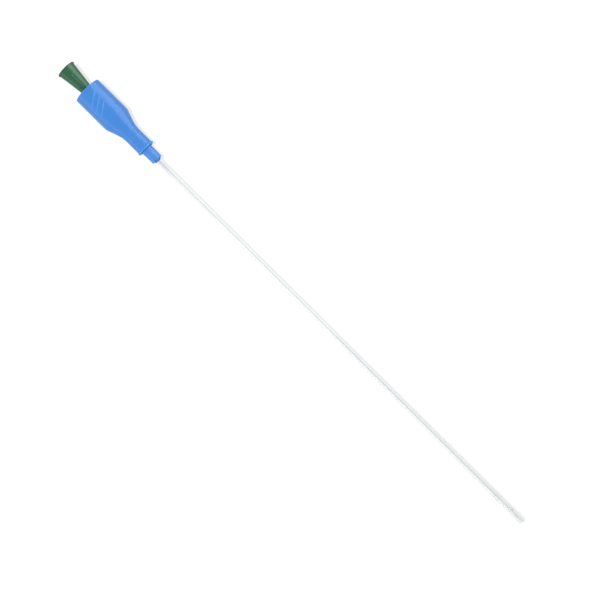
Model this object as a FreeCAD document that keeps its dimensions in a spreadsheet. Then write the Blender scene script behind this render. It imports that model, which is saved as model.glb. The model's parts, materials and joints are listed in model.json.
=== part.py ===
import FreeCAD, Part
import math
import os
import Sketcher

# An intermittent urinary catheter with a sliding grip, in millimetres.
#
# A clear tube is bonded into the stem of a flared funnel. A bell-shaped grip with a notched introducer tip slides
# on the tube and is parked over the funnel's stem. Every piece is round about one axis. Stations are measured along
# that axis from the funnel's mouth towards the tube's tip, and the whole lies on the floor as it comes to rest, on
# the grip's shoulder and the tube's tip: +X towards the tip, +Z up, the origin on the floor under the middle.

SIZES = {
    # The whole
    "overall_length": 400.0,
    "park_gap": 0.3,
    # Tube
    "tube_diameter": 3.33,
    "lumen_diameter": 2.1,
    "tip_wall": 3.0,
    "eyelet_length": 3.4,
    "eyelet_width": 1.5,
    "first_eyelet_setback": 11.0,
    "second_eyelet_setback": 22.0,
    "eyelet_turn": 25.0,
    # Funnel
    "mouth_diameter": 12.8,
    "bead_length": 0.9,
    "bead_height": 0.55,
    "bead_bevel": 0.3,
    "taper_angle": 7.3,
    "funnel_wall": 0.9,
    "land_diameter": 4.8,
    "land_length": 6.0,
    "stem_diameter": 6.4,
    "stem_bevel": 0.4,
    "socket_depth": 28.0,
    "bond_clearance": 0.02,
    "fin_setback": 6.6,
    "fin_length": 8.8,
    "fin_width": 0.45,
    "fin_height": 0.25,
    "fin_ramp": 0.8,
    # Grip
    "grip_setback": 18.7,
    "grip_diameter": 18.8,
    "grip_wall": 1.4,
    "rim_bevel": 0.45,
    "bell_length": 24.2,
    "shoulder_angle": 20.0,
    "shoulder_round": 7.0,
    "neck_sweep": 17.6,
    "neck_diameter": 11.1,
    "neck_length": 12.2,
    "lip_diameter": 12.2,
    "lip_length": 2.0,
    "lip_land": 0.7,
    "lip_wall": 1.1,
    "lip_bevel": 0.25,
    "ledge_offset": 1.2,
    "ledge_thickness": 1.6,
    "stem_clearance": 0.3,
    "ring_width": 0.35,
    "ring_height": 0.08,
    # Ribs on the grip, on the side that lies uppermost
    "rib_count": 3,
    "rib_setback": 5.4,
    "rib_pitch": 4.05,
    "rib_reach": 6.1,
    "rib_turn": 52.0,
    "rib_start_angle": 16.0,
    "rib_width": 0.7,
    "rib_height": 0.3,
    "rib_bevel": 0.15,
    # Introducer tip
    "seat_setback": 1.5,
    "seat_clearance": 0.02,
    "seat_bevel": 0.5,
    "collar_reach": 9.2,
    "collar_diameter": 7.7,
    "collar_end_diameter": 7.3,
    "collar_wall": 0.85,
    "collar_bevel": 0.2,
    "guide_length": 2.0,
    "guide_clearance": 0.35,
    "nose_length": 1.4,
    "nose_diameter": 4.3,
    "nose_clearance": 0.08,
    "slit_count": 6,
    "slit_length": 1.6,
    "slit_width": 0.5,
    "slit_turn": 55.0,
}

# How far a rib's root reaches into the wall below it, and a cutter past the face that it opens
ROOT = 0.3
OVERRUN = 1.0

FULL_TURN = 360
OPPOSITE = 2

# Two lengths this close are the same, a length this small is none, and a feature that changes less does nothing
SAME_LENGTH = 1e-3
NO_LENGTH = 1e-9
LEAST_VOLUME = 1e-4

doc = FreeCAD.newDocument("catheter")
sheet = doc.addObject("Spreadsheet::Sheet", "Size")
for row, (alias, value) in enumerate(SIZES.items(), start=1):
    sheet.set(f"A{row}", alias)
    sheet.set(f"B{row}", str(value))
    sheet.setAlias(f"B{row}", alias)
doc.recompute()

# Radii
TUBE = "Size.tube_diameter / 2"
LUMEN = "Size.lumen_diameter / 2"
MOUTH = "Size.mouth_diameter / 2"
CONE = "(Size.mouth_diameter / 2 - Size.bead_height)"
LAND = "Size.land_diameter / 2"
STEM = "Size.stem_diameter / 2"
BELL = "Size.grip_diameter / 2"
NECK = "Size.neck_diameter / 2"
LIP = "Size.lip_diameter / 2"
NECK_BORE = "(Size.neck_diameter / 2 - Size.grip_wall)"
LEDGE = "(Size.stem_diameter / 2 + Size.stem_clearance)"
COLLAR = "Size.collar_diameter / 2"
COLLAR_END = "Size.collar_end_diameter / 2"

# Lengths along the grip from its rim
SLOPE = "Size.shoulder_angle"
ROUNDS = "(Size.shoulder_round + Size.neck_sweep)"
STRAIGHT_DROP = f"({BELL} - {NECK} - {ROUNDS} * (1 - cos({SLOPE})))"
NECK_START = f"(Size.bell_length + {ROUNDS} * sin({SLOPE}) + {STRAIGHT_DROP} / tan({SLOPE}))"
LEDGE_BACK = f"({NECK_START} + Size.ledge_offset)"
LEDGE_FRONT = f"({LEDGE_BACK} + Size.ledge_thickness)"
GRIP_END = f"({NECK_START} + Size.neck_length)"
LIP_START = f"({GRIP_END} - Size.lip_length)"

# Lengths along the introducer tip from its back face, which is seated on the ledge
SEAT_DEPTH = "(Size.neck_length - Size.ledge_offset - Size.ledge_thickness)"
SEAT_END = f"({SEAT_DEPTH} - Size.lip_length - Size.seat_setback)"
COLLAR_FRONT = f"({SEAT_DEPTH} + Size.collar_reach)"
NOSE_FRONT = f"({COLLAR_FRONT} + Size.nose_length)"

# Stations from the funnel's mouth
STEM_END = f"(Size.grip_setback + {LEDGE_FRONT} - Size.park_gap)"
TUBE_START = f"({STEM_END} - Size.socket_depth)"
TUBE_LENGTH = f"(Size.overall_length - {TUBE_START})"
TIP_CENTRE = f"(Size.overall_length - {TUBE})"

# The pose at rest: the shoulder's round and the round tip, each an arc about a centre, both touch the floor
SHOULDER_OUT = f"({BELL} - Size.shoulder_round)"
SPAN = f"({TIP_CENTRE} - Size.grip_setback - Size.bell_length)"
LIE = (
    f"(atan({SHOULDER_OUT} / {SPAN})"
    f" + asin((Size.shoulder_round - {TUBE}) / sqrt({SHOULDER_OUT}^2 + {SPAN}^2)))"
)
MOUTH_HEIGHT = f"({TUBE} + {TIP_CENTRE} * sin({LIE}))"
MOUTH_PLACE = f"(({MOUTH} * sin({LIE}) - {TIP_CENTRE} * cos({LIE}) - {TUBE}) / 2)"


def read(expression):
    """The value of an expression on the sizes."""
    return float(sheet.evalExpression(expression))


def origin_plane(body, role):
    """One of the body's own origin planes."""
    return [feature for feature in body.Origin.OriginFeatures if feature.Role == role][0]


def hold(sketch, kind, geometry, end, expression, name):
    """Binds one coordinate of a point to an expression, or puts the point on an axis where that is 0."""
    value = read(expression)
    if abs(value) < NO_LENGTH:
        axis = -2 if kind == "DistanceX" else -1
        sketch.addConstraint(Sketcher.Constraint("PointOnObject", geometry, end, axis))
        return
    if value > 0:
        constraint = Sketcher.Constraint(kind, -1, 1, geometry, end, value)
    else:
        constraint = Sketcher.Constraint(kind, geometry, end, -1, 1, -value)
    index = sketch.addConstraint(constraint)
    sketch.renameConstraint(index, name)
    sketch.setExpression(f"Constraints.{name}", expression if value > 0 else f"-({expression})")


def arc(start, end, centre, turn):
    """The arc from start to end about centre, with which of its own ends is the start."""
    first, last = (start, end) if turn > 0 else (end, start)
    begin, finish = (math.atan2(p.y - centre.y, p.x - centre.x) for p in (first, last))
    if finish <= begin:
        finish += 2 * math.pi
    circle = Part.Circle(centre, FreeCAD.Vector(0, 0, 1), (start - centre).Length)
    return Part.ArcOfCircle(circle, begin, finish), (1, 2) if turn > 0 else (2, 1)


def outline(body, name, corners, turn="0"):
    """A closed sketch on the plane through the axis, turned about it from +Y towards +Z.

    A corner is its place along the axis and its distance from it. Three more values make the side that leaves it an
    arc: its centre's two coordinates, and 1 for an arc that turns left or -1 for one that turns right.
    """
    sketch = body.newObject("Sketcher::SketchObject", name)
    sketch.AttachmentSupport = [(origin_plane(body, "XY_Plane"), "")]
    sketch.MapMode = "FlatFace"
    about_axis = FreeCAD.Rotation(FreeCAD.Vector(1, 0, 0), read(turn))
    sketch.AttachmentOffset = FreeCAD.Placement(FreeCAD.Vector(), about_axis)
    points = [FreeCAD.Vector(read(corner[0]), read(corner[1]), 0) for corner in corners]
    ends = []
    for side, corner in enumerate(corners):
        start, end = points[side], points[(side + 1) % len(points)]
        if len(corner) == 2:
            sketch.addGeometry(Part.LineSegment(start, end))
            ends.append((1, 2))
        else:
            centre = FreeCAD.Vector(read(corner[2]), read(corner[3]), 0)
            curve, order = arc(start, end, centre, corner[4])
            sketch.addGeometry(curve)
            ends.append(order)
            chord = end - start
            if abs(chord.y) > abs(chord.x):
                hold(sketch, "DistanceX", side, 3, corner[2], f"centre_{side}")
            else:
                hold(sketch, "DistanceY", side, 3, corner[3], f"centre_{side}")
    for side, corner in enumerate(corners):
        following = (side + 1) % len(corners)
        sketch.addConstraint(
            Sketcher.Constraint("Coincident", side, ends[side][1], following, ends[following][0])
        )
        hold(sketch, "DistanceX", side, ends[side][0], corner[0], f"along_{side}")
        hold(sketch, "DistanceY", side, ends[side][0], corner[1], f"out_{side}")
    doc.recompute()
    if not sketch.FullyConstrained:
        raise ValueError(f"the sketch {name} of {body.Label} isn't fully constrained")
    return sketch


def turned(body, kind, name, corners):
    """A revolution, or a groove, of an outline about the axis."""
    feature = body.newObject(f"PartDesign::{kind}", name)
    feature.Profile = outline(body, f"{name}_outline", corners)
    feature.ReferenceAxis = (feature.Profile[0], ["H_Axis"])
    feature.Angle = FULL_TURN
    doc.recompute()
    return feature


def extruded(body, kind, name, sketch, thickness=None):
    """A pad or pocket of a sketch: as thick as given and equal to both sides, or through everything above it."""
    feature = body.newObject(f"PartDesign::{kind}", name)
    feature.Profile = sketch
    if thickness:
        feature.SideType = "Symmetric"
        feature.setExpression("Length", thickness)
    else:
        feature.Type = "ThroughAll"
        feature.Reversed = True
    doc.recompute()
    return feature


def repeated_round(body, name, feature, count):
    """Copies of a feature evenly spaced about the axis."""
    pattern = body.newObject("PartDesign::PolarPattern", name)
    pattern.Originals = [feature]
    pattern.Axis = (feature.Profile[0], ["H_Axis"])
    pattern.Angle = FULL_TURN
    pattern.setExpression("Occurrences", count)
    body.Tip = pattern
    doc.recompute()
    return pattern


def ring_edges(shape, *rings):
    """The names of the circular edges at the given places along the axis and radii."""
    names = []
    for index, edge in enumerate(shape.Edges, start=1):
        if not isinstance(edge.Curve, Part.Circle):
            continue
        for along, radius in rings:
            centre = edge.Curve.Center
            misses = abs(centre.x - read(along)), abs(edge.Curve.Radius - read(radius))
            if max(misses) < SAME_LENGTH:
                names.append(f"Edge{index}")
    if len(names) != len(rings):
        raise ValueError(f"{len(names)} edges found for {len(rings)} rings")
    return names


def bevelled(body, name, base, size, *rings):
    """A chamfer on circular edges."""
    chamfer = body.newObject("PartDesign::Chamfer", name)
    chamfer.Base = (base, ring_edges(base.Shape, *rings))
    chamfer.setExpression("Size", size)
    doc.recompute()
    return chamfer


def check_change(before, after, sign):
    """Stops the build if a feature added or removed nothing."""
    change = (after.Shape.Volume - before.Shape.Volume) * sign
    if change < LEAST_VOLUME:
        raise ValueError(f"{after.Label} changed the volume by {change * sign:.5f} cubic millimetres")


def new_body(name, station):
    """A body built about its own X axis, placed by the station of its back end with the whole lying at rest."""
    body = doc.addObject("PartDesign::Body", name)
    body.Label = name
    base_x = f"{MOUTH_PLACE} + {station} * cos({LIE})"
    base_z = f"{MOUTH_HEIGHT} - {station} * sin({LIE})"
    lying = FreeCAD.Rotation(FreeCAD.Vector(0, 1, 0), read(LIE))
    body.Placement = FreeCAD.Placement(FreeCAD.Vector(read(base_x), 0, read(base_z)), lying)
    body.setExpression("Placement.Base.x", base_x)
    body.setExpression("Placement.Base.z", base_z)
    body.setExpression("Placement.Rotation.Angle", LIE)
    return body


def make_tube():
    """The extruded tube: an open end for the funnel's socket, a closed round tip and two staggered eyelets."""
    body = new_body("catheter_tube", TUBE_START)
    dome = f"{TUBE_LENGTH} - {TUBE}"
    wall = turned(body, "Revolution", "tube", [
        ("0", "0"),
        ("0", TUBE),
        (dome, TUBE, dome, "0", -1),
        (TUBE_LENGTH, "0"),
    ])
    lumen_end = f"{TUBE_LENGTH} - Size.tip_wall"
    lumen = turned(body, "Groove", "lumen", [
        ("0", "0"),
        ("0", LUMEN),
        (lumen_end, LUMEN),
        (lumen_end, "0"),
    ])
    check_change(wall, lumen, -1)
    before = lumen
    for name, setback, turn in (
        ("first_eyelet", "Size.first_eyelet_setback", "-Size.eyelet_turn"),
        ("second_eyelet", "Size.second_eyelet_setback", "180 - Size.eyelet_turn"),
    ):
        straight = "(Size.eyelet_length - Size.eyelet_width) / 2"
        back = f"{TUBE_LENGTH} - {setback} - {straight}"
        front = f"{TUBE_LENGTH} - {setback} + {straight}"
        half = "Size.eyelet_width / 2"
        slot = outline(body, f"{name}_outline", [
            (back, f"-{half}"),
            (front, f"-{half}", front, "0", 1),
            (front, half),
            (back, half, back, "0", 1),
        ], turn)
        eyelet = extruded(body, "Pocket", name, slot)
        check_change(before, eyelet, -1)
        before = eyelet
    return body


def make_funnel():
    """The connector: a beaded, flared mouth, a land for a connector's end, and a stem with the tube's socket."""
    body = new_body("funnel_connector", "0")
    taper = "tan(Size.taper_angle)"
    taper_end = f"(Size.bead_length + ({CONE} - {STEM}) / {taper})"
    solid = turned(body, "Revolution", "funnel", [
        ("0", "0"),
        ("0", MOUTH),
        ("Size.bead_length", MOUTH),
        ("Size.bead_length", CONE),
        (taper_end, STEM),
        (STEM_END, STEM),
        (STEM_END, "0"),
    ])
    inside = f"({CONE} - Size.funnel_wall)"
    cone_end = f"(Size.bead_length + ({inside} - {LAND}) / {taper})"
    land_end = f"({cone_end} + Size.land_length)"
    passage = turned(body, "Groove", "passage", [
        ("0", "0"),
        ("0", f"{inside} + Size.bead_length * {taper}"),
        (cone_end, LAND),
        (land_end, LAND),
        (f"{land_end} + {LAND} - {LUMEN}", LUMEN),
        (TUBE_START, LUMEN),
        (TUBE_START, f"{TUBE} + Size.bond_clearance"),
        (STEM_END, f"{TUBE} + Size.bond_clearance"),
        (STEM_END, "0"),
    ])
    check_change(solid, passage, -1)
    bead = bevelled(body, "bead_bevels", passage, "Size.bead_bevel", ("0", MOUTH), ("Size.bead_length", MOUTH))
    stem = bevelled(body, "stem_end_bevel", bead, "Size.stem_bevel", (STEM_END, STEM))

    def surface(along):
        """The cone's radius at a place along it."""
        return f"({CONE} - ({along} - Size.bead_length) * {taper})"

    back = "Size.fin_setback"
    front = "(Size.fin_setback + Size.fin_length)"
    back_ramp = "(Size.fin_setback + Size.fin_ramp)"
    front_ramp = "(Size.fin_setback + Size.fin_length - Size.fin_ramp)"
    fin_outline = outline(body, "fin_outline", [
        (back, f"{surface(back)} - {ROOT}"),
        (back, surface(back)),
        (back_ramp, f"{surface(back_ramp)} + Size.fin_height"),
        (front_ramp, f"{surface(front_ramp)} + Size.fin_height"),
        (front, surface(front)),
        (front, f"{surface(front)} - {ROOT}"),
    ], "90")
    fin = extruded(body, "Pad", "fin", fin_outline, "Size.fin_width")
    check_change(stem, fin, 1)
    fins = repeated_round(body, "fins", fin, str(OPPOSITE))
    check_change(fin, fins, 1)
    return body


def add_ribs(body, wall):
    """Slanted ribs in a row, each winding part of the way round the bell."""
    crest = f"{BELL} + Size.rib_height"
    back = "Size.rib_setback - Size.rib_width / 2"
    front = "Size.rib_setback + Size.rib_width / 2"
    section = outline(body, "rib_section", [
        (back, f"{BELL} - {ROOT}"),
        (back, BELL),
        (f"{back} + Size.rib_bevel", crest),
        (f"{front} - Size.rib_bevel", crest),
        (front, BELL),
        (front, f"{BELL} - {ROOT}"),
    ], "90 - Size.rib_start_angle")
    rib = body.newObject("PartDesign::AdditiveHelix", "rib")
    rib.Profile = section
    rib.ReferenceAxis = (section, ["H_Axis"])
    rib.Mode = "pitch-height-angle"
    rib.setExpression("Pitch", f"Size.rib_reach * {FULL_TURN} / Size.rib_turn")
    rib.setExpression("Height", "Size.rib_reach")
    doc.recompute()
    check_change(wall, rib, 1)
    row = body.newObject("PartDesign::LinearPattern", "rib_row")
    row.Originals = [rib]
    row.Direction = (section, ["H_Axis"])
    row.setExpression("Length", "(Size.rib_count - 1) * Size.rib_pitch")
    row.setExpression("Occurrences", "Size.rib_count")
    body.Tip = row
    doc.recompute()
    check_change(rib, row, 1)


def make_grip():
    """The grip: an open bell, an S-shaped shoulder, a neck with an inner ledge, and a flared lip."""
    body = new_body("grip_sleeve", "Size.grip_setback")
    bell_end = "Size.bell_length"
    slope_start = f"{bell_end} + Size.shoulder_round * sin({SLOPE})"
    slope_end = f"{NECK_START} - Size.neck_sweep * sin({SLOPE})"
    sweep_out = f"({NECK} + Size.neck_sweep)"
    solid = turned(body, "Revolution", "shell", [
        ("0", "0"),
        ("0", BELL),
        (bell_end, BELL, bell_end, SHOULDER_OUT, -1),
        (slope_start, f"{SHOULDER_OUT} + Size.shoulder_round * cos({SLOPE})"),
        (slope_end, f"{sweep_out} - Size.neck_sweep * cos({SLOPE})", NECK_START, sweep_out, 1),
        (NECK_START, NECK),
        (LIP_START, NECK),
        (f"{GRIP_END} - Size.lip_land", LIP),
        (GRIP_END, LIP),
        (GRIP_END, "0"),
    ])
    lead_in = f"({NECK_BORE} - {LEDGE})"
    hollow = turned(body, "Groove", "hollow", [
        ("0", "0"),
        ("0", f"{BELL} - Size.grip_wall"),
        (bell_end, f"{BELL} - Size.grip_wall"),
        (NECK_START, NECK_BORE),
        (f"{LEDGE_BACK} - {lead_in}", NECK_BORE),
        (LEDGE_BACK, LEDGE),
        (LEDGE_FRONT, LEDGE),
        (LEDGE_FRONT, NECK_BORE),
        (LIP_START, NECK_BORE),
        (GRIP_END, f"{LIP} - Size.lip_wall"),
        (GRIP_END, "0"),
    ])
    check_change(solid, hollow, -1)
    rim_edges = ("0", BELL), ("0", f"{BELL} - Size.grip_wall")
    rim = bevelled(body, "rim_bevels", hollow, "Size.rim_bevel", *rim_edges)
    lip_edges = (GRIP_END, LIP), (GRIP_END, f"{LIP} - Size.lip_wall")
    lip = bevelled(body, "lip_bevels", rim, "Size.lip_bevel", *lip_edges)
    ring_back = f"{LEDGE_FRONT} - Size.ring_width / 2"
    ring_front = f"{LEDGE_FRONT} + Size.ring_width / 2"
    ring = turned(body, "Revolution", "parting_ring", [
        (ring_back, f"{NECK} - {ROOT}"),
        (ring_back, f"{NECK} + Size.ring_height"),
        (ring_front, f"{NECK} + Size.ring_height"),
        (ring_front, f"{NECK} - {ROOT}"),
    ])
    check_change(lip, ring, 1)
    add_ribs(body, ring)
    return body


def make_introducer():
    """The introducer tip: a seat in the grip's neck, a hollow collar, and a nose slit into petals."""
    body = new_body("introducer_tip", f"(Size.grip_setback + {LEDGE_FRONT})")
    seat = f"({NECK_BORE} - Size.seat_clearance)"
    nose = "Size.nose_diameter / 2"
    solid = turned(body, "Revolution", "insert", [
        ("0", "0"),
        ("0", seat),
        (SEAT_END, seat),
        (f"{SEAT_END} + Size.seat_bevel", COLLAR),
        (COLLAR_FRONT, COLLAR_END),
        (NOSE_FRONT, nose),
        (NOSE_FRONT, "0"),
    ])
    guide = f"({TUBE} + Size.guide_clearance)"
    room = f"({COLLAR_END} - Size.collar_wall)"
    hollow = turned(body, "Groove", "chamber", [
        ("0", "0"),
        ("0", guide),
        ("Size.guide_length", guide),
        (f"Size.guide_length + {room} - {guide}", room),
        (COLLAR_FRONT, room),
        (NOSE_FRONT, f"{TUBE} + Size.nose_clearance"),
        (NOSE_FRONT, "0"),
    ])
    check_change(solid, hollow, -1)
    edge = bevelled(body, "collar_bevel", hollow, "Size.collar_bevel", (COLLAR_FRONT, COLLAR_END))
    slit_outline = outline(body, "slit_outline", [
        (f"{NOSE_FRONT} - Size.slit_length", "0"),
        (f"{NOSE_FRONT} - Size.slit_length", f"{COLLAR} + {OVERRUN}"),
        (f"{NOSE_FRONT} + {OVERRUN}", f"{COLLAR} + {OVERRUN}"),
        (f"{NOSE_FRONT} + {OVERRUN}", "0"),
    ], "Size.slit_turn")
    slit = extruded(body, "Pocket", "slit", slit_outline, "Size.slit_width")
    check_change(edge, slit, -1)
    slits = repeated_round(body, "slits", slit, "Size.slit_count")
    check_change(slit, slits, -1)
    return body


bodies = [make_tube(), make_funnel(), make_grip(), make_introducer()]
doc.recompute()

for item in doc.Objects:
    if {"Invalid", "Error"} & set(item.State):
        raise ValueError(f"{item.Label} failed: {item.State}")
for body in bodies:
    if body.Shape.isNull() or not body.Shape.isValid() or len(body.Shape.Solids) != 1:
        raise ValueError(f"{body.Label} isn't one valid solid")

os.makedirs("parts", exist_ok=True)
for body in bodies:
    body.Shape.exportStep(f"parts/{body.Label}.step")
    print(body.Label, f"{body.Shape.Volume:.2f} cubic millimetres")
print(f"lies nose down by {read(LIE):.4f} degrees, its mouth at {read(MOUTH_PLACE):.3f}, {read(MOUTH_HEIGHT):.3f}")
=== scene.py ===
import json
import math
import bmesh
import bpy
from mathutils import Matrix, Vector


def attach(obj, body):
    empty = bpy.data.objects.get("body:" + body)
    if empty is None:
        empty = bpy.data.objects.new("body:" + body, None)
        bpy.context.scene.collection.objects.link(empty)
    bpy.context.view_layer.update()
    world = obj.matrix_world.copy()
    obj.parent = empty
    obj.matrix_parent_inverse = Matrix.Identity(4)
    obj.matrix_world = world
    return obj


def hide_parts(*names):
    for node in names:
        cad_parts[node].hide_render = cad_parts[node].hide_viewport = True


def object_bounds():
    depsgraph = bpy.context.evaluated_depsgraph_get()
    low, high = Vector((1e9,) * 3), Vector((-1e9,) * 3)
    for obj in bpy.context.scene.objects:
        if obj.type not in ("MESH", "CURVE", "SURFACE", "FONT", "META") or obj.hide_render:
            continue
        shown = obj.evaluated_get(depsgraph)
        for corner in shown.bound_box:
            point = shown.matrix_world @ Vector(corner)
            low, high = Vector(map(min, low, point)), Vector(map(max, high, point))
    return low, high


# An intermittent catheter lying on a pale table, seen from above.
#
# Every piece is round about one axis. It is shaped in millimetres about that axis held level, with stations measured
# from the funnel's mouth towards the tube's tip, and angles from straight up towards +Y. It is then laid down, nose
# low, where the solids lie.

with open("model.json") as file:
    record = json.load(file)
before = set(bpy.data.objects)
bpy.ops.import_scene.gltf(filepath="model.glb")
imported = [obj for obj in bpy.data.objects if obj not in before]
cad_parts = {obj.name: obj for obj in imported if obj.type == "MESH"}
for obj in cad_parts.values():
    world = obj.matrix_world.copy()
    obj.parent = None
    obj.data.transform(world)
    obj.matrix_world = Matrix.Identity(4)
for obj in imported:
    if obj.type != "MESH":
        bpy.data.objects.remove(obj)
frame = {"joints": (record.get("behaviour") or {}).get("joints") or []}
cad_box = [list(corner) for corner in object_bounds()]

MM = 0.001
TURN = 2 * math.pi

# Sizes in millimetres, the same as the solids have
LENGTH = 400.0
TUBE_R, LUMEN_R, TIP_WALL = 1.665, 1.05, 3.0
MOUTH_R, BEAD_LENGTH, BEAD_HEIGHT = 6.4, 0.9, 0.55
TAPER = math.tan(math.radians(7.3))
FUNNEL_WALL, LAND_R, LAND_LENGTH, STEM_R, SOCKET_DEPTH = 0.9, 2.4, 6.0, 3.2, 28.0
BELL_BACK, BELL_R, WALL, BELL_LENGTH = 18.7, 9.4, 1.4, 24.2
SHOULDER_SLOPE, SHOULDER_ROUND, NECK_SWEEP = math.radians(20), 7.0, 17.6
NECK_R, NECK_LENGTH, LIP_R, LIP_LENGTH, LIP_LAND, LIP_WALL = 5.55, 12.2, 6.1, 2.0, 0.7, 1.1
LEDGE_OFFSET, LEDGE_THICKNESS, LEDGE_R, PARK_GAP = 1.2, 1.6, 3.5, 0.3
COLLAR_REACH, COLLAR_R, COLLAR_END_R, COLLAR_WALL = 9.2, 3.85, 3.65, 0.85
NOSE_LENGTH, NOSE_R, NOSE_CLEARANCE = 1.4, 2.15, 0.08

# Stations that follow from them
SWEEP = SHOULDER_ROUND + NECK_SWEEP
DROP = BELL_R - NECK_R - SWEEP * (1 - math.cos(SHOULDER_SLOPE))
BELL_END = BELL_BACK + BELL_LENGTH
NECK_START = BELL_END + SWEEP * math.sin(SHOULDER_SLOPE) + DROP / math.tan(SHOULDER_SLOPE)
LEDGE_BACK = NECK_START + LEDGE_OFFSET
LEDGE_FRONT = LEDGE_BACK + LEDGE_THICKNESS
GRIP_END = NECK_START + NECK_LENGTH
LIP_START = GRIP_END - LIP_LENGTH
STEM_END = LEDGE_FRONT - PARK_GAP
TUBE_START = STEM_END - SOCKET_DEPTH
COLLAR_FRONT = GRIP_END + COLLAR_REACH
NOSE_FRONT = COLLAR_FRONT + NOSE_LENGTH
DOME = LENGTH - TUBE_R

# Where the axis lies: along the slide, with the round tip touching the table
ALONG = Vector(frame["joints"][0]["axis"])
LIE = math.atan2(-ALONG.z, ALONG.x)
MOUTH_X = cad_box[1][0] - (TUBE_R + DOME * math.cos(LIE)) * MM
MOUTH_Z = (TUBE_R + DOME * math.sin(LIE)) * MM
LAID = Matrix.Translation((MOUTH_X, 0, MOUTH_Z)) @ Matrix.Rotation(LIE, 4, "Y") @ Matrix.Scale(MM, 4)


class Wire:
    """An output socket of a node. Arithmetic on wires and numbers adds Math nodes."""

    def __init__(self, graph, socket):
        self.graph = graph
        self.socket = socket

    def __getitem__(self, name):
        return Wire(self.graph, pick(self.socket.node.outputs, name))

    def __add__(self, other):
        return self.graph.math("ADD", self, other)

    def __sub__(self, other):
        return self.graph.math("SUBTRACT", self, other)

    def __rsub__(self, other):
        return self.graph.math("SUBTRACT", other, self)

    def __mul__(self, other):
        return self.graph.math("MULTIPLY", self, other)

    def __truediv__(self, other):
        return self.graph.math("DIVIDE", self, other)

    def __mod__(self, other):
        return self.graph.math("MODULO", self, other)

    __radd__ = __add__
    __rmul__ = __mul__


def pick(sockets, name):
    """A socket by its place, its identifier, or its name among those in use."""
    if isinstance(name, int):
        return sockets[name]
    for socket in sockets:
        if socket.identifier == name:
            return socket
    return [socket for socket in sockets if socket.enabled and socket.name == name][0]


class Graph:
    """A node tree under construction."""

    def __init__(self, tree):
        self.tree = tree
        self.tree.nodes.clear()

    def node(self, kind, settings=None, values=None, output=0):
        """Adds a node: its settings first, then the values or wires of its sockets."""
        made = self.tree.nodes.new(kind)
        for name, value in (settings or {}).items():
            setattr(made, name, value)
        for name, value in (values or {}).items():
            socket = pick(made.inputs, name)
            if isinstance(value, Wire):
                self.tree.links.new(value.socket, socket)
            else:
                socket.default_value = value
        if not made.outputs:
            return made
        return Wire(self, pick(made.outputs, output))

    def math(self, operation, *values):
        return self.node("ShaderNodeMath", {"operation": operation}, dict(enumerate(values)))

    def clamped(self, value):
        """A wire held between 0 and 1."""
        return self.node("ShaderNodeClamp", None, {"Value": value})

    def blend(self, factor, first, second, how="MIX"):
        """Two colours mixed by a factor."""
        return self.node(
            "ShaderNodeMix", {"data_type": "RGBA", "blend_type": how},
            {"Factor_Float": factor, "A_Color": first, "B_Color": second}, "Result_Color",
        )

    def noise(self, vector, scale, detail, roughness=0.5):
        """A noise between 0 and 1 of a given number of lumps a metre."""
        values = {"Vector": vector, "Scale": scale, "Detail": detail, "Roughness": roughness}
        return self.node("ShaderNodeTexNoise", None, values)

    def input(self, name, kind):
        """A named input of a Geometry Nodes tree."""
        self.tree.interface.new_socket(name, in_out="INPUT", socket_type=kind)
        return self.node("NodeGroupInput", None, None, name)

    def finish(self, geometry, finish):
        """Ends a Geometry Nodes tree: instances made real, and the finish set."""
        self.tree.interface.new_socket("Geometry", in_out="OUTPUT", socket_type="NodeSocketGeometry")
        solid = self.node("GeometryNodeRealizeInstances", None, {"Geometry": geometry})
        dressed = self.node("GeometryNodeSetMaterial", None, {"Geometry": solid, "Material": finish})
        self.node("NodeGroupOutput", None, {"Geometry": dressed})
        return self.tree


SAME_PLACE = 1e-4  # points nearer than this many millimetres become one


def turned_tree():
    """Turns a closed section, given as a row of points, about the axis."""
    graph = Graph(bpy.data.node_groups.new("turned wall", "GeometryNodeTree"))
    section = graph.input("Section", "NodeSocketGeometry")
    facets = graph.input("Facets", "NodeSocketInt")
    finish = graph.input("Finish", "NodeSocketMaterial")
    count = graph.node("GeometryNodeAttributeDomainSize", {"component": "MESH"}, {"Geometry": section}, "Point Count")
    grid = graph.node("GeometryNodeMeshGrid", None, {"Vertices X": count + 1, "Vertices Y": facets + 1}, "Mesh")
    index = graph.node("GeometryNodeInputIndex")
    row = graph.math("FLOOR", (index + 0.5) / (facets + 1))
    turn = (index - row * (facets + 1)) * TURN / facets
    point = graph.math("ROUND", row % count)
    place = graph.node("GeometryNodeInputPosition")
    found = graph.node(
        "GeometryNodeSampleIndex", {"data_type": "FLOAT_VECTOR"},
        {"Geometry": section, "Value": place, "Index": point},
    )
    corner = graph.node("ShaderNodeSeparateXYZ", None, {"Vector": found})
    radius = corner["Y"]
    target = graph.node("ShaderNodeCombineXYZ", None, {
        "X": corner["X"], "Y": radius * graph.math("SINE", turn), "Z": radius * graph.math("COSINE", turn),
    })
    wall = graph.node("GeometryNodeSetPosition", None, {"Geometry": grid, "Position": target})
    # The edge marks carry the painted edge highlight and shade from the section onto the wall.
    mark = graph.node("GeometryNodeInputNamedAttribute", {"data_type": "FLOAT"}, {"Name": "edge"}, "Attribute")
    edge = graph.node(
        "GeometryNodeSampleIndex", {"data_type": "FLOAT"}, {"Geometry": section, "Value": mark, "Index": point},
    )
    marked = graph.node(
        "GeometryNodeStoreNamedAttribute", {"data_type": "FLOAT", "domain": "POINT"},
        {"Geometry": wall, "Name": "edge", "Value": edge},
    )
    closed = graph.node("GeometryNodeMergeByDistance", None, {"Geometry": marked, "Distance": SAME_PLACE})
    smooth = graph.node("GeometryNodeSetShadeSmooth", None, {"Geometry": closed})
    return graph.finish(smooth, finish)


ROUNDED_PART = 24  # a rib's rounded end is one part in so many of its length
LEAST_SWELL = 0.25  # of its thickness, at the very end


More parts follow.
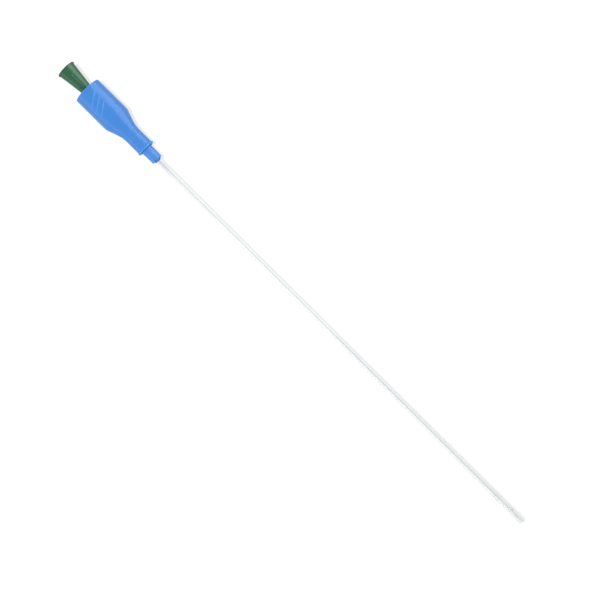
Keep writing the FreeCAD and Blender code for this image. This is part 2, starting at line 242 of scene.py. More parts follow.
def rib_tree():
    """A row of slanted ribs, each a rounded bar with rounded ends that winds part of the way round the bell."""
    graph = Graph(bpy.data.node_groups.new("slanted ribs", "GeometryNodeTree"))
    count = graph.input("Count", "NodeSocketInt")
    pitch = graph.input("Pitch", "NodeSocketFloat")
    start = graph.input("Start", "NodeSocketFloat")
    reach = graph.input("Reach", "NodeSocketFloat")
    first_angle = graph.input("First Angle", "NodeSocketFloat")
    turn = graph.input("Turn", "NodeSocketFloat")
    radius = graph.input("Bell Radius", "NodeSocketFloat")
    thickness = graph.input("Thickness", "NodeSocketFloat")
    height = graph.input("Height", "NodeSocketFloat")
    points = graph.input("Points", "NodeSocketInt")
    finish = graph.input("Finish", "NodeSocketMaterial")
    line = graph.node("GeometryNodeCurvePrimitiveLine")
    dotted = graph.node("GeometryNodeResampleCurve", None, {"Curve": line, "Count": points})
    share = graph.node("GeometryNodeSplineParameter", None, None, "Factor")
    centre = radius + height - thickness / 2
    first_side = graph.math("SINE", first_angle)
    side = first_side + (graph.math("SINE", first_angle - turn) - first_side) * share
    target = graph.node("ShaderNodeCombineXYZ", None, {
        "X": start + reach * share,
        "Y": centre * side,
        "Z": centre * graph.math("SQRT", 1 - side * side),
    })
    path = graph.node("GeometryNodeSetPosition", None, {"Geometry": dotted, "Position": target})
    end = graph.clamped(graph.math("MINIMUM", share, 1 - share) * ROUNDED_PART)
    thick = graph.math("SQRT", end * (2 - end)) * (1 - LEAST_SWELL) + LEAST_SWELL
    sized = graph.node("GeometryNodeSetCurveRadius", None, {"Curve": path, "Radius": thick})
    profile = graph.node("GeometryNodeCurvePrimitiveCircle", None, {"Resolution": 20, "Radius": thickness / 2})
    bar = graph.node(
        "GeometryNodeCurveToMesh", None, {"Curve": sized, "Profile Curve": profile, "Fill Caps": True},
    )
    # Every rib is marked, so it takes the painted edge highlight all over.
    marked = graph.node(
        "GeometryNodeStoreNamedAttribute", {"data_type": "FLOAT", "domain": "POINT"},
        {"Geometry": bar, "Name": "edge", "Value": 1.0},
    )
    smooth = graph.node("GeometryNodeSetShadeSmooth", None, {"Geometry": marked})
    steps = graph.node("ShaderNodeCombineXYZ", None, {"X": pitch})
    places = graph.node("GeometryNodeMeshLine", None, {"Count": count, "Offset": steps})
    row = graph.node("GeometryNodeInstanceOnPoints", None, {"Points": places, "Instance": smooth})
    return graph.finish(row, finish)


# A round has a point for each step of its turn. The points beside it are a share of its size away, and some more, but
# no further than one part in three of the free flat.
ROUND_STEP = math.radians(12)
BESIDE_SHARE, BESIDE_MORE, BESIDE_PART = 0.4, 0.02, 3


def section(corners):
    """A wall's closed section, as (point, edge), from (station, radius, round, edge) corners.

    Each corner is filled in with its round, and a point on either side of the round keeps the flat next to it flat.
    The edge is 1 where the material shows its painted edge colour, a painted highlight on the blue pieces and painted
    shade on the green, and 0 elsewhere.
    """
    here = [Vector(corner[:2]) for corner in corners]
    count = len(corners)
    turns, reaches = [], []
    for i, corner in enumerate(corners):
        before, after = here[i - 1] - here[i], here[(i + 1) % count] - here[i]
        turns.append(math.pi - before.angle(after))
        reaches.append(corner[2] * math.tan(turns[i] / 2))
    points = []
    for i, (_, _, size, edge) in enumerate(corners):
        before, after = here[i - 1] - here[i], here[(i + 1) % count] - here[i]
        back, ahead = before.normalized(), after.normalized()
        centre = here[i] + (back + ahead).normalized() * size / math.cos(turns[i] / 2)
        arm = here[i] + back * reaches[i] - centre
        side = math.copysign(1, arm.cross(here[i] + ahead * reaches[i] - centre))
        steps = max(2, math.ceil(turns[i] / ROUND_STEP))
        beside = [
            min(BESIDE_SHARE * size + BESIDE_MORE, (run.length - reaches[i] - reaches[j]) / BESIDE_PART)
            for run, j in ((before, i - 1), (after, (i + 1) % count))
        ]
        marks = [min(edge, corners[i - 1][3]), min(edge, corners[(i + 1) % count][3])]
        points.append((here[i] + back * (reaches[i] + beside[0]), marks[0]))
        for k in range(steps + 1):
            points.append((centre + Matrix.Rotation(side * turns[i] * k / steps, 2) @ arm, edge))
        points.append((here[i] + ahead * (reaches[i] + beside[1]), marks[1]))
    return points


def grown(name, tree, inputs, points=()):
    """The plain mesh that a Geometry Nodes tree makes from its inputs and, where it has one, a section."""
    seed = bpy.data.meshes.new("seed")
    seed.from_pydata([(point.x, point.y, 0) for point, _ in points], [], [])
    if points:
        seed.attributes.new("edge", "FLOAT", "POINT").data.foreach_set("value", [mark for _, mark in points])
    holder = bpy.data.objects.new("seed", seed)
    bpy.context.scene.collection.objects.link(holder)
    modifier = holder.modifiers.new("grow", "NODES")
    modifier.node_group = tree
    for item in tree.interface.items_tree:
        if item.in_out == "INPUT" and item.name in inputs:
            modifier[item.identifier] = inputs[item.name]
    evaluated = holder.evaluated_get(bpy.context.evaluated_depsgraph_get())
    mesh = bpy.data.meshes.new_from_object(evaluated)
    holder.modifiers.remove(modifier)
    bpy.data.objects.remove(holder)
    mesh.name = name
    return mesh


def piece(name, mesh, body, slot, *nodes):
    """A finished mesh laid in place, on its body, standing for the CAD nodes that it is finer than."""
    mesh.transform(LAID)
    shell = bmesh.new()
    shell.from_mesh(mesh)
    bmesh.ops.delete(shell, geom=[vertex for vertex in shell.verts if not vertex.link_faces], context="VERTS")
    if shell.calc_volume(signed=True) < 0:
        bmesh.ops.reverse_faces(shell, faces=shell.faces)
    shell.to_mesh(mesh)
    shell.free()
    made = bpy.data.objects.new(name, mesh)
    bpy.context.scene.collection.objects.link(made)
    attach(made, body)
    if nodes:
        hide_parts(*nodes)
    return made


def modelled(name, shell, finish, smooth=True, crease=TURN):
    """The mesh of a shell that was built face by face, with its faces outward, and smooth but for sharp edges."""
    bmesh.ops.recalc_face_normals(shell, faces=shell.faces)
    for face in shell.faces:
        face.smooth = smooth
    for line in shell.edges:
        if len(line.link_faces) == 2 and line.calc_face_angle() > crease:
            line.smooth = False
    mesh = bpy.data.meshes.new(name)
    shell.to_mesh(mesh)
    shell.free()
    mesh.materials.append(finish)
    return mesh


# Finishes

CLOUDS, FLOW_MARKS, GRAINS = 70, 420, 5200  # lumps a metre


def plastic(name, base, deep, edge_highlight_and_shade, roughness, shine=(1, 1, 1, 1)):
    """A satin moulded plastic: uneven between two colours, with a fine moulded grain, and a colour painted at marked
    edges.
    """
    material = bpy.data.materials.new(name)
    material.use_nodes = True
    graph = Graph(material.node_tree)
    place = graph.node("ShaderNodeTexCoord", None, None, "Object")
    edge = graph.node("ShaderNodeAttribute", {"attribute_name": "edge"}, None, "Fac")
    cloud = graph.noise(place, CLOUDS, 3)
    flow = graph.noise(place, FLOW_MARKS, 2)
    grain = graph.noise(place, GRAINS, 3, 0.6)
    colour = graph.blend(graph.clamped(cloud * 1.6 - 0.3), deep, base)
    # Marked edges take the painted edge colour: a painted highlight on the blue pieces, painted shade on the green
    # funnel's rim.
    colour = graph.blend(graph.clamped(edge), colour, edge_highlight_and_shade)
    rough = roughness + (cloud - 0.5) * 0.06 + (grain - 0.5) * 0.04
    relief = grain * 0.3 + flow
    bump = graph.node("ShaderNodeBump", None, {"Strength": 0.05, "Distance": 0.00003, "Height": relief})
    surface = graph.node("ShaderNodeBsdfPrincipled", None, {
        "Base Color": colour, "Roughness": rough, "Normal": bump, "IOR": 1.3, "Specular Tint": shine,
    })
    graph.node("ShaderNodeOutputMaterial", None, {"Surface": surface})
    return material


DRAWN_LINES, FILM = 2600, 260  # lumps a metre
TINT, THIN_TINT = (0.92, 0.942, 0.947, 1), (0.955, 0.968, 0.972, 1)
# The tint is deeper up to one station, beside the grip, as painted bluish light from the grip, and a little deeper
# from another on, as painted shade. It changes over FADE.
NEAR_GRIP, NEAR_GRIP_PAINTED_BLUE_LIGHT = 95, (0.84, 0.84, 0.90, 1)
FAR_PART, FAR_PART_PAINTED_SHADE = 228, (0.965, 0.965, 0.965, 1)
FADE = 14


def clear_plastic():
    """The tube: clear plastic, a little grey-blue, wet with an uneven coating, and frosted at the eyelets' rims."""
    material = bpy.data.materials.new("clear coated plastic")
    material.use_nodes = True
    graph = Graph(material.node_tree)
    place = graph.node("ShaderNodeTexCoord", None, None, "Object")
    drawn = graph.node("ShaderNodeMapping", None, {"Vector": place, "Scale": (0.01, 1, 1)})
    lines = graph.noise(drawn, DRAWN_LINES, 2)
    film = graph.noise(place, FILM, 2)
    tint = graph.blend(film, TINT, THIN_TINT)
    station = (graph.node("ShaderNodeSeparateXYZ", None, {"Vector": place}) - MOUTH_X) / MM
    # Painted bluish light from the grip, on the tube beside it.
    tint = graph.blend(graph.clamped((NEAR_GRIP - station) / FADE), tint, NEAR_GRIP_PAINTED_BLUE_LIGHT)
    # Painted shade over the far part of the tube.
    tint = graph.blend(graph.clamped((station - FAR_PART) / FADE), tint, FAR_PART_PAINTED_SHADE, "MULTIPLY")
    rough = 0.02 + 0.03 * film
    bump = graph.node("ShaderNodeBump", None, {"Strength": 0.05, "Distance": 0.00001, "Height": lines + 2 * film})
    clear = graph.node("ShaderNodeBsdfPrincipled", None, {
        "Base Color": tint, "Roughness": rough, "Normal": bump, "IOR": 1.5, "Transmission Weight": 1.0,
    })
    frosted = graph.node("ShaderNodeBsdfPrincipled", None, {
        "Base Color": (0.95, 0.96, 0.96, 1), "Roughness": 0.45, "Normal": bump, "IOR": 1.3,
    })
    rim = graph.node("ShaderNodeAttribute", {"attribute_name": "edge"}, None, "Fac")
    surface = graph.node("ShaderNodeMixShader", None, {0: graph.clamped(rim) * 0.5, 1: clear, 2: frosted})
    graph.node("ShaderNodeOutputMaterial", None, {"Surface": surface})
    return material


# Its edge colour is darker: painted shade at the mouth's rim.
GREEN = plastic(
    "green moulding", base=(0.034, 0.131, 0.066, 1), deep=(0.028, 0.121, 0.059, 1), edge_highlight_and_shade=(0.017, 0.085, 0.040, 1),
    roughness=0.29,
)
# The fins are moulded in the funnel's green; their paler green here is a painted highlight along their ridges.
FIN_PAINTED_HIGHLIGHT = plastic(
    "green moulding with painted highlight", base=(0.050, 0.160, 0.090, 1), deep=(0.046, 0.152, 0.085, 1),
    edge_highlight_and_shade=(0.050, 0.160, 0.090, 1), roughness=0.3,
)
WARM = (1, 0.95, 0.6, 1)
# Its edge colour is lighter: a painted highlight on the bell's rim, the ribs, the neck's fine line and the lip.
BLUE = plastic(
    "blue moulding", base=(0.067, 0.265, 0.748, 1), deep=(0.059, 0.251, 0.724, 1), edge_highlight_and_shade=(0.084, 0.358, 0.856, 1),
    roughness=0.29, shine=WARM,
)
# Its edge colour is lighter: a painted highlight along the collar's front.
SOFT_BLUE = plastic(
    "soft blue moulding", base=(0.081, 0.289, 0.78, 1), deep=(0.072, 0.275, 0.76, 1), edge_highlight_and_shade=(0.088, 0.35, 0.85, 1),
    roughness=0.3, shine=WARM,
)
CLEAR = clear_plastic()

# Funnel and grip

turned = turned_tree()
CONE_R = MOUTH_R - BEAD_HEIGHT
INSIDE = CONE_R - FUNNEL_WALL
TAPER_END = BEAD_LENGTH + (CONE_R - STEM_R) / TAPER
CONE_END = BEAD_LENGTH + (INSIDE - LAND_R) / TAPER
LAND_END = CONE_END + LAND_LENGTH
BOND = 0.02
MOUTH_BACK, MID_CONE = 0.01, 8
# The corners marked 1 at the mouth take the painted shade of the rim.
funnel_section = section([
    (MOUTH_BACK, MOUTH_R, 0.16, 1),
    (0.55, MOUTH_R, 0.3, 1),
    (BEAD_LENGTH + 0.4, CONE_R + 0.08, 0.8, 0),
    (MID_CONE, CONE_R - (MID_CONE - BEAD_LENGTH) * TAPER, 10, 0),
    (TAPER_END, STEM_R, 6, 0),
    (STEM_END, STEM_R, 0.4, 0),
    (STEM_END, TUBE_R + BOND, 0.1, 0),
    (TUBE_START, TUBE_R + BOND, 0.05, 0),
    (TUBE_START, LUMEN_R, 0.05, 0),
    (LAND_END + LAND_R - LUMEN_R, LUMEN_R, 0.5, 0),
    (LAND_END, LAND_R, 0.5, 0),
    (CONE_END, LAND_R, 3, 0),
    (MOUTH_BACK, INSIDE + BEAD_LENGTH * TAPER, 0.3, 1),
])
funnel = grown("funnel", turned, {"Facets": 128, "Finish": GREEN}, funnel_section)
piece("funnel", funnel, "catheter", "green_funnel", "funnel_connector")

NECK_BORE = NECK_R - WALL
# The fine line round the neck is raised, and its top carries a painted highlight.
RING, RING_HALF, RING_HEIGHT = LEDGE_FRONT - 0.2, 0.28, 0.09  # the fine line round the neck
lead_in = NECK_BORE - LEDGE_R
shoulder_corner = BELL_END + SHOULDER_ROUND * math.tan(SHOULDER_SLOPE / 2)
sweep_corner = NECK_START - NECK_SWEEP * math.tan(SHOULDER_SLOPE / 2)
# Corners marked 1 take the painted highlight: the bell's back rim, the top of the fine line, and the lip.
grip_section = section([
    (BELL_BACK, BELL_R, 0.3, 1),
    (shoulder_corner, BELL_R, SHOULDER_ROUND, 0),
    (sweep_corner, NECK_R, NECK_SWEEP, 0),
    (RING - RING_HALF, NECK_R, 0.03, 0),
    (RING - RING_HALF * 0.5, NECK_R + RING_HEIGHT, 0.04, 1),
    (RING + RING_HALF * 0.5, NECK_R + RING_HEIGHT, 0.04, 1),
    (RING + RING_HALF, NECK_R, 0.03, 0),
    (LIP_START, NECK_R, 1.5, 0),
    (GRIP_END - LIP_LAND, LIP_R, 0.5, 1),
    (GRIP_END, LIP_R, 0.45, 1),
    (GRIP_END, LIP_R - LIP_WALL, 0.4, 1),
    (LIP_START, NECK_BORE, 1.0, 0),
    (LEDGE_FRONT, NECK_BORE, 0.08, 0),
    (LEDGE_FRONT, LEDGE_R, 0.12, 0),
    (LEDGE_BACK, LEDGE_R, 0.12, 0),
    (LEDGE_BACK - lead_in, NECK_BORE, 0.5, 0),
    (sweep_corner, NECK_BORE, 10, 0),
    (shoulder_corner, BELL_R - WALL, SHOULDER_ROUND, 0),
    (BELL_BACK, BELL_R - WALL, 0.45, 1),
])
grip = grown("grip", turned, {"Facets": 160, "Finish": BLUE}, grip_section)
piece("grip", grip, "grip", "blue_grip", "grip_sleeve")

ribs = grown("grip_ribs", rib_tree(), {
    "Count": 3,
    "Pitch": 4.05,
    "Start": BELL_BACK + 5.4,
    "Reach": 5.6,
    "First Angle": math.radians(16),
    "Turn": math.radians(52),
    "Bell Radius": BELL_R,
    "Thickness": 1.0,
    "Height": 0.3,
    "Points": 90,
    "Finish": BLUE,
})
piece("grip_ribs", ribs, "grip", "blue_grip")

# Fins on the funnel


def fins():
    """The low fin above and below on the funnel's cone."""
    shell = bmesh.new()
    shell.verts.layers.float.new("edge")
    back, front, ramp, steps = 5.4, 16.0, 1.2, 24
    half, height, root, bevel = 0.3, 0.25, 0.3, 0.1
    for side in (1, -1):
        rows = []
        for k in range(steps + 1):
            x = back + (front - back) * k / steps
            rise = min(1, (x - back) / ramp, (front - x) / ramp)
            rise = rise * rise * (3 - 2 * rise)
            cone = CONE_R - (x - BEAD_LENGTH) * TAPER
            top = cone + height * rise
            rows.append([
                shell.verts.new((x, across, side * out))
                for out, across in (
                    (cone - root, -half), (top - bevel, -half), (top, -half * 0.5), (top, half * 0.5),
                    (top - bevel, half), (cone - root, half),
                )
            ])
        for first, second in zip(rows, rows[1:]):
            for j in range(len(first)):
                shell.faces.new((first[j], first[j - 1], second[j - 1], second[j]))
        shell.faces.new(rows[0])
        shell.faces.new(rows[-1][::-1])
    return modelled("funnel_fins", shell, FIN_PAINTED_HIGHLIGHT, smooth=False)


piece("funnel_fins", fins(), "catheter", "green_funnel")

# Introducer tip

SHARP, SOFT = 0.0001, 0.2
SEAT_LENGTH, SEAT_GAP, SEAT_CHAMFER = 5.9, 0.02, 0.5
GUIDE_LENGTH, GUIDE_GAP = 2.0, 0.35
SLITS, SLIT_HALF, SLIT_LENGTH, SLIT_TURN = 6, 0.25, 1.6, math.radians(35)
PETAL_STEPS, GAP_STEPS = 14, 2
NOSE_ROUND = 0.15
CREASE = math.radians(50)
CLOSE = 0.01  # what counts as in line with the petals' root

# The petals, first from their root as (how far on, how far in, edge), then up to the front as (how far short of it,
# how far outside the nose's radius or the bore, edge)
# The 1s at the petals' root mark a painted highlight along the collar's front.
PETAL_ROOT = [(0, 0, 0), (0.04, 0.003, 1), (0.12, 0.018, 1), (0.18, 0.055, 1), (0.24, 0.12, 1), (0.29, 0.2, 0.6)]
PETAL_FRONT = [(0.7, 0.57, 0), (0.3, 0.06, 0), (0.08, -0.17, 0), (0, -0.29, 0)]
PETAL_ROOT_INSIDE = [(0, 0, 0), (0.08, 0, 0), (0.14, 0, 0), (0.2, 0, 0), (0.26, 0.04, 0), (0.33, 0.1, 0)]
PETAL_FRONT_INSIDE = [(0.7, 0.45, 0), (0.3, 0.13, 0), (0.08, 0.03, 0), (0, 0.01, 0)]


def introducer_rows():
    """The soft tip's closed section as (station, radius, edge), and where in it the petals begin and end."""
    seat_r = NECK_BORE - SEAT_GAP
    seat_end = LEDGE_FRONT + SEAT_LENGTH
    guide = TUBE_R + GUIDE_GAP
    guide_end = LEDGE_FRONT + GUIDE_LENGTH
    room = COLLAR_END_R - COLLAR_WALL
    root = NOSE_FRONT - SLIT_LENGTH
    front = NOSE_FRONT - NOSE_ROUND
    slope = (COLLAR_END_R - COLLAR_R) / (COLLAR_FRONT - seat_end - SEAT_CHAMFER)
    root_r = COLLAR_END_R - (COLLAR_FRONT - root) * slope
    bore = TUBE_R + NOSE_CLEARANCE
    back = section([
        (LEDGE_FRONT, seat_r, SOFT, 0),
        (seat_end, seat_r, SOFT, 0),
        (seat_end + SEAT_CHAMFER, COLLAR_R, SOFT, 0),
        (root, root_r, SHARP, 0),
        (root, room, SHARP, 0),
        (guide_end + room - guide, room, SOFT, 0),
        (guide_end, guide, SOFT, 0),
        (LEDGE_FRONT, guide, SOFT, 0),
    ])
    behind = [(point.x, point.y, edge) for point, edge in back if point.x < root - CLOSE]
    outer = [(root + on, root_r - less, edge) for on, less, edge in PETAL_ROOT]
    outer += [(front - short, NOSE_R + more, edge) for short, more, edge in PETAL_FRONT]
    inner = [(root + on, room - less, edge) for on, less, edge in PETAL_ROOT_INSIDE]
    inner += [(front - short, bore + more, edge) for short, more, edge in PETAL_FRONT_INSIDE]
    rows = [row for row in behind if row[1] > room + CLOSE]
    opened = len(rows)
    rows += outer + inner[::-1]
    closed = len(rows)
    return rows + [row for row in behind if row[1] <= room + CLOSE], opened, closed


def introducer():
    """The soft tip: a seat in the neck, a collar, and a nose slit into petals."""
    rows, opened, closed = introducer_rows()
    columns = []
    for slit in range(SLITS):
        middle = SLIT_TURN + slit * TURN / SLITS
        for k in range(GAP_STEPS):
            columns.append((middle, -1 + 2 * k / GAP_STEPS, 0))
        for k in range(PETAL_STEPS):
            columns.append((middle, 1, k / PETAL_STEPS))
    shell = bmesh.new()
    mark = shell.verts.layers.float.new("edge")
    grid = []
    for x, r, edge in rows:
        row = []
        for middle, side, along in columns:
            half = math.asin(SLIT_HALF / r)
            angle = middle + side * half + along * (TURN / SLITS - 2 * half)
            vertex = shell.verts.new((x, r * math.sin(angle), r * math.cos(angle)))
            vertex[mark] = edge
            row.append(vertex)
        grid.append(row)
    span = GAP_STEPS + PETAL_STEPS
    for j, (first, second) in enumerate(zip(grid, grid[1:] + grid[:1])):
        petals = opened <= j < closed - 1
        for i in range(len(columns)):
            if petals and i % span < GAP_STEPS:
                continue
            m = (i + 1) % len(columns)
            shell.faces.new((first[i], first[m], second[m], second[i]))
    pairs = [(grid[opened + k], grid[closed - 1 - k]) for k in range((closed - opened) // 2)]
    for slit in range(SLITS):
        start = slit * span
        for i in (start, start + GAP_STEPS):
            for (outside, inside), (next_outside, next_inside) in zip(pairs, pairs[1:]):
                shell.faces.new((outside[i], next_outside[i], next_inside[i], inside[i]))
        outside, inside = pairs[0]
        for i in range(start, start + GAP_STEPS):
            shell.faces.new((outside[i], outside[i + 1], inside[i + 1], inside[i]))
    return modelled("introducer", shell, SOFT_BLUE, crease=CREASE)


piece("introducer", introducer(), "grip", "blue_tip", "introducer_tip")

# Tube

FACETS, DOME_STEPS, LUMEN_END_STEPS = 48, 12, 4
RING_STEP, INNER_RING_STEP, DROP_RING_STEP = 1.0, 4.0, 0.2
CUT_CHAMFER, LUMEN_ROUND, COATING_INSET = 0.1, 0.3, 3
PHASE = math.radians(25)

# Eyelets as (station, angle). Each is cut in a patch of the wall, which reaches PATCH_HALF along and PATCH_SIDE facets
# round from its middle, and its lips are rounded outside and inside.
EYELETS = [(LENGTH - 11.0, math.radians(25)), (LENGTH - 22.0, math.radians(205))]
EYELET_HALF_LENGTH, EYELET_HALF_WIDTH = 1.7, 0.75
PATCH_HALF, PATCH_STEP, PATCH_SIDE = 3.0, 0.5, 8
OUTER_LIP, INNER_LIP = 0.22, 0.07
FLAT_SHARES = (0.3, 0.55, 0.78)
LIP_BENDS = (0, 0.4, 0.8, 1.2, math.pi / 2)

# Drops in the wet coating: station, angle, half length, half width, height
DROPS = [
    (LENGTH - 36.7, -0.25, 1.6, 0.8, 0.05),
    (LENGTH - 45.4, 0.1, 2.0, 0.9, 0.055),
    (LENGTH - 68.0, -0.3, 1.5, 0.7, 0.05),
    (LENGTH - 75.0, 0.35, 1.4, 0.7, 0.045),
    (LENGTH - 92.0, 0.0, 1.8, 0.8, 0.05),
    (LENGTH - 101.0, -0.2, 1.5, 0.7, 0.045),
    (LENGTH - 151.0, 0.5, 1.2, 0.7, 0.04),
    (LENGTH - 214.0, -0.6, 1.5, 0.8, 0.045),
]
UNEVEN = 0.0008  # how far the coating is uneven between them


def swell(x, angle):
    """How far the coating stands out: a faint unevenness, and the drops."""
    rise = UNEVEN * (math.sin(x * 0.83 + 2 * angle) + math.sin(x * 0.37 - angle + 1.3) + math.sin(x * 1.9 + 3 * angle))
    for station, side, half_length, half_width, height in DROPS:
        along = (x - station) / half_length
        across = TUBE_R * ((angle - side + math.pi) % TURN - math.pi) / half_width
        inside = 1 - along * along - across * across
        if inside > 0:
            rise += height * inside ** 0.7
    return rise


def ring_stations(start, end, step):
    """Ring places between two stations, closer together at a drop, and on the grid of each eyelet's patch."""
    zones = [(place - PATCH_HALF, place + PATCH_HALF, PATCH_STEP) for place, _ in EYELETS]
    zones += [(drop[0] - drop[2], drop[0] + drop[2], DROP_RING_STEP) for drop in DROPS]
    places = []
    at = start
    for low, high, fine in sorted(zones) + [(end, end, step)]:
        count = max(1, round((low - at) / step))
        places += [at + (low - at) * k / count for k in range(count)]
        count = round((high - low) / fine)
        places += [low + (high - low) * k / count for k in range(count)]
        at = high
    return places + [end]


def nearest(places, station):
    """Which of the places is nearest to a station."""
    return min(range(len(places)), key=lambda j: abs(places[j] - station))


def patches(places):
    """Each eyelet's patch among the rings at some places: its first ring, its last ring and its left column."""
    return [
        (nearest(places, place - PATCH_HALF), nearest(places, place + PATCH_HALF),
         (round((turn - PHASE) / TURN * FACETS) - PATCH_SIDE) % FACETS)
        for place, turn in EYELETS
    ]


def ring(shell, x, r, uneven=False):
    """A ring of vertices round the axis."""
    made = []
    for k in range(FACETS):
        angle = PHASE + TURN * k / FACETS
        out = r + (swell(x, angle) if uneven else 0)
        made.append(shell.verts.new((x, out * math.sin(angle), out * math.cos(angle))))
    return made


def skin(shell, rings, holes=()):
    """Faces from ring to ring, but for those in the holes."""
    cut = {
        (j, (left + k) % FACETS) for low, high, left in holes for j in range(low, high) for k in range(2 * PATCH_SIDE)
    }
    for j, (first, second) in enumerate(zip(rings, rings[1:])):
        for k in range(FACETS):
            if (j, k) not in cut:
                m = (k + 1) % FACETS
                shell.faces.new((first[k], first[m], second[m], second[k]))


def cap(shell, rim, x):
    """Faces from a ring to a point on the axis."""
    pole = shell.verts.new((x, 0, 0))
    for k in range(FACETS):
        shell.faces.new((rim[k], rim[(k + 1) % FACETS], pole))


def border(rings, lines, columns):
    """The vertices round a patch of a wall, which takes in some of its rings and some columns of each."""
    return (
        [rings[lines[0]][c] for c in columns[:-1]]
        + [rings[j][columns[-1]] for j in lines[:-1]]
        + [rings[lines[-1]][c] for c in columns[:0:-1]]
        + [rings[j][columns[0]] for j in lines[:0:-1]]
    )


def lip(shell, rim, eyelet, radius, size, side):
    """Loops of vertices from a patch's border to the eyelet's rounded lip, outside the wall (-1) or inside it (1)."""
    place, turn = eyelet
    mark = shell.verts.layers.float["edge"]
    up = Vector((0, math.sin(turn), math.cos(turn)))
    across = Vector((0, math.cos(turn), -math.sin(turn)))
    straight = EYELET_HALF_LENGTH - EYELET_HALF_WIDTH
    spots = []
    for vertex in rim:
        x, y = vertex.co.x - place, vertex.co.dot(across)
        middle = max(-straight, min(straight, x))
        away = Vector((x - middle, y))
        spots.append((middle, away.normalized(), away.length - EYELET_HALF_WIDTH))
    levels = [(None, share, 0) for share in FLAT_SHARES]
    levels += [(size * (1 - math.sin(bend)), 0, size * (1 - math.cos(bend))) for bend in LIP_BENDS]
    loops = [rim]
    for distance, share, depth in levels:
        loop = []
        for middle, away, reach in spots:
            gap = distance if distance is not None else reach + (size - reach) * share
            spot = Vector((middle, 0)) + away * (EYELET_HALF_WIDTH + gap)
            height = math.sqrt(radius * radius - spot.y * spot.y) + side * depth
            vertex = shell.verts.new(Vector((place + spot.x, 0, 0)) + across * spot.y + up * height)
            vertex[mark] = 0 if distance is None else 1
            loop.append(vertex)
        loops.append(loop)
    return loops


def tube():
    """The clear tube: a hollow wall with a closed round tip, and eyelets whose rims are rounded."""
    shell = bmesh.new()
    shell.verts.layers.float.new("edge")
    start, lumen_end = TUBE_START + CUT_CHAMFER, LENGTH - TIP_WALL - LUMEN_ROUND
    coated_from, coated_to = NOSE_FRONT + COATING_INSET, DOME - COATING_INSET
    outer_places = ring_stations(start, DOME, RING_STEP)
    outer = [ring(shell, TUBE_START, TUBE_R - CUT_CHAMFER)]
    outer += [ring(shell, x, TUBE_R, coated_from < x < coated_to) for x in outer_places]
    inner_places = ring_stations(start, lumen_end, INNER_RING_STEP)
    inner = [ring(shell, x, LUMEN_R) for x in inner_places]
    outer_holes, inner_holes = patches([TUBE_START] + outer_places), patches(inner_places)
    skin(shell, outer, outer_holes)
    skin(shell, inner, inner_holes)
    skin(shell, [outer[0], ring(shell, TUBE_START, LUMEN_R + CUT_CHAMFER), inner[0]])
    dome = [outer[-1]]
    for k in range(1, DOME_STEPS):
        bend = math.pi / 2 * k / DOME_STEPS
        dome.append(ring(shell, DOME + TUBE_R * math.sin(bend), TUBE_R * math.cos(bend)))
    skin(shell, dome)
    cap(shell, dome[-1], LENGTH)
    end = [inner[-1]]
    for k in range(1, LUMEN_END_STEPS + 1):
        bend = math.pi / 2 * k / LUMEN_END_STEPS
        end.append(ring(shell, lumen_end + LUMEN_ROUND * math.sin(bend), LUMEN_R - LUMEN_ROUND * (1 - math.cos(bend))))
    skin(shell, end)
    cap(shell, end[-1], LENGTH - TIP_WALL)
    for eyelet, (low, high, left), (low_in, high_in, _) in zip(EYELETS, outer_holes, inner_holes):
        columns = [(left + k) % FACETS for k in range(2 * PATCH_SIDE + 1)]
        rim = border(outer, range(low, high + 1), columns)
        rim_in = border(inner, range(low_in, high_in + 1), columns)
        chain = lip(shell, rim, eyelet, TUBE_R, OUTER_LIP, -1)
        chain += lip(shell, rim_in, eyelet, LUMEN_R, INNER_LIP, 1)[::-1]
        for first, second in zip(chain, chain[1:]):
            for k in range(len(first)):
                shell.faces.new((first[k - 1], first[k], second[k], second[k - 1]))
    return modelled("tube", shell, CLEAR)


clear = piece("tube", tube(), "catheter", "clear_tube", "catheter_tube")

# Table, light and camera


def seen(graph):
    """1 on the rays that show a background: from the camera, by a reflection, or through clear plastic."""
    rays = graph.node("ShaderNodeLightPath")
    direct = graph.math("MAXIMUM", rays["Is Camera Ray"], rays["Is Glossy Ray"])
    return graph.math("MAXIMUM", direct, rays["Is Transmission Ray"])


# The shadow keeps its distance from the object, which lies lower towards the tip. So the table is in strips across
# the object, and the light slants more from strip to strip.
TABLE_HALF = 4
STRIPS, LEAST_SLANT, MOST_SLANT = 17, 0.14, 0.62
SKEW = 0.12  # of the slant, along the object
SHADOW_OFFSET = 1.05 * MM
GLOW_SHARE = 0.70  # how far the table shows white where no light falls


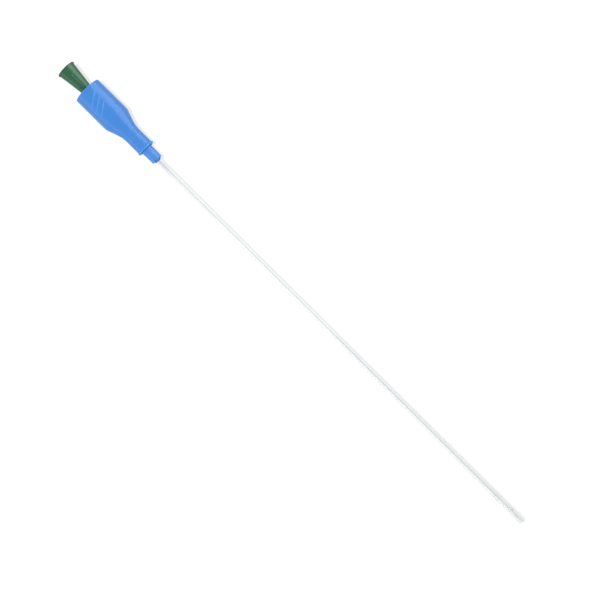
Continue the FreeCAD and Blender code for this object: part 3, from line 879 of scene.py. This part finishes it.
def table():
    """A pale table that shows white and takes a faint shadow, as strips with the slant of the light on each."""
    material = bpy.data.materials.new("pale table")
    material.use_nodes = True
    graph = Graph(material.node_tree)
    white = graph.node("ShaderNodeBsdfDiffuse", None, {"Color": (0.667, 0.667, 0.667, 1)})
    glow = graph.node("ShaderNodeEmission", None, {"Color": (1, 1, 1, 1), "Strength": 1.0})
    shown = graph.node("ShaderNodeMixShader", None, {0: GLOW_SHARE, 1: white, 2: glow})
    bounce = graph.node("ShaderNodeBsdfDiffuse", None, {"Color": (0.457, 0.457, 0.457, 1)})
    both = graph.node("ShaderNodeMixShader", None, {0: seen(graph), 1: bounce, 2: shown})
    graph.node("ShaderNodeOutputMaterial", None, {"Surface": both})
    growth = (MOST_SLANT / LEAST_SLANT) ** (1 / (STRIPS - 1))
    slants = [LEAST_SLANT * growth ** i for i in range(STRIPS)]
    edges = [MOUTH_X + (MOUTH_Z - SHADOW_OFFSET / (slant * growth ** 0.5)) / math.tan(LIE) for slant in slants[:-1]]
    strips = []
    for back, front, slant in zip([-TABLE_HALF, *edges], [*edges, TABLE_HALF], slants):
        corners = [(back, -TABLE_HALF, 0), (front, -TABLE_HALF, 0), (front, TABLE_HALF, 0), (back, TABLE_HALF, 0)]
        mesh = bpy.data.meshes.new("table")
        mesh.from_pydata(corners, [], [(0, 1, 2, 3)])
        mesh.materials.append(material)
        strip = bpy.data.objects.new("table", mesh)
        bpy.context.scene.collection.objects.link(strip)
        strips.append((strip, slant))
    return strips


def sky():
    """A plain even light from all round, which shows white."""
    world = bpy.data.worlds.new("studio")
    bpy.context.scene.world = world
    world.use_nodes = True
    graph = Graph(world.node_tree)
    even = graph.node("ShaderNodeBackground", None, {"Color": (1, 1, 1, 1), "Strength": 0.85})
    white = graph.node("ShaderNodeBackground", None, {"Color": (1, 1, 1, 1), "Strength": 1.0})
    both = graph.node("ShaderNodeMixShader", None, {0: seen(graph), 1: even, 2: white})
    graph.node("ShaderNodeOutputWorld", None, {"Surface": both})


def lit(name, only, *things):
    """A collection that lets a lamp light some things alone, or everything but those things."""
    group = bpy.data.collections.new(name)
    for thing in things:
        group.objects.link(thing)
    for linked in group.collection_objects:
        linked.light_linking.link_state = "INCLUDE" if only else "EXCLUDE"
    return group


def sun(name, energy, spread, towards, receivers):
    """A sun that shows in no reflection."""
    lamp = bpy.data.lights.new(name, "SUN")
    lamp.energy = energy
    lamp.angle = math.radians(spread)
    made = bpy.data.objects.new(name, lamp)
    made.rotation_euler = Vector(towards).to_track_quat("Z", "Y").to_euler()
    made.visible_glossy = made.visible_transmission = made.visible_camera = False
    made.light_linking.receiver_collection = receivers
    bpy.context.scene.collection.objects.link(made)


def softbox(name, place, turn, width, height, radiance, receivers):
    """A long softbox that shows in gloss alone, with its height turned about X."""
    lamp = bpy.data.lights.new(name, "AREA")
    lamp.shape = "RECTANGLE"
    lamp.size, lamp.size_y = width, height
    lamp.energy = radiance * math.pi * width * height
    box = bpy.data.objects.new(name, lamp)
    box.location = place
    box.rotation_euler = (turn, 0, 0)
    box.visible_camera = box.visible_diffuse = box.visible_transmission = False
    box.light_linking.receiver_collection = receivers
    bpy.context.scene.collection.objects.link(box)


def lights(strips, clear):
    """A key for each strip of the table, a weaker one for the object, and three softboxes for the bands of gloss."""
    for strip, slant in strips:
        towards = (SKEW - slant, -slant, 1)
        sun("shadow key", energy=3.0, spread=1.5, towards=towards, receivers=lit("table", True, strip))
    rest = lit("all but the table", False, *(strip for strip, _ in strips))
    sun("soft key", energy=0.5, spread=10, towards=(-0.2, -0.3, 1), receivers=rest)
    opaque = lit("all but the tube", False, clear)
    softbox(
        "softbox right", place=(0.15, 0.60, 0.43), turn=math.radians(-90), width=1.3, height=0.82,
        radiance=5.8, receivers=opaque,
    )
    softbox(
        "softbox left", place=(0.15, -0.90, 0.19), turn=math.radians(90), width=1.3, height=0.36,
        radiance=2.75, receivers=opaque,
    )
    softbox(
        "softbox for the tube", place=(0.45, -0.44, 0.53), turn=math.radians(40), width=1.1, height=0.8,
        radiance=3.0, receivers=lit("tube", True, clear),
    )


def camera():
    """Straight above the object, which lies across the picture from the upper left to the lower right."""
    lens = bpy.data.cameras.new("camera")
    lens.sensor_width = 36
    lens.lens = 82.91
    lens.clip_start = 0.01
    eye = bpy.data.objects.new("camera", lens)
    eye.location = (-0.00085, 0.00064, 0.85075)
    eye.rotation_euler = (0, 0, math.atan2(0.7046, 0.7096))
    bpy.context.scene.collection.objects.link(eye)
    bpy.context.scene.camera = eye


sky()
lights(table(), clear)
camera()
bpy.context.scene.view_settings.view_transform = "Standard"
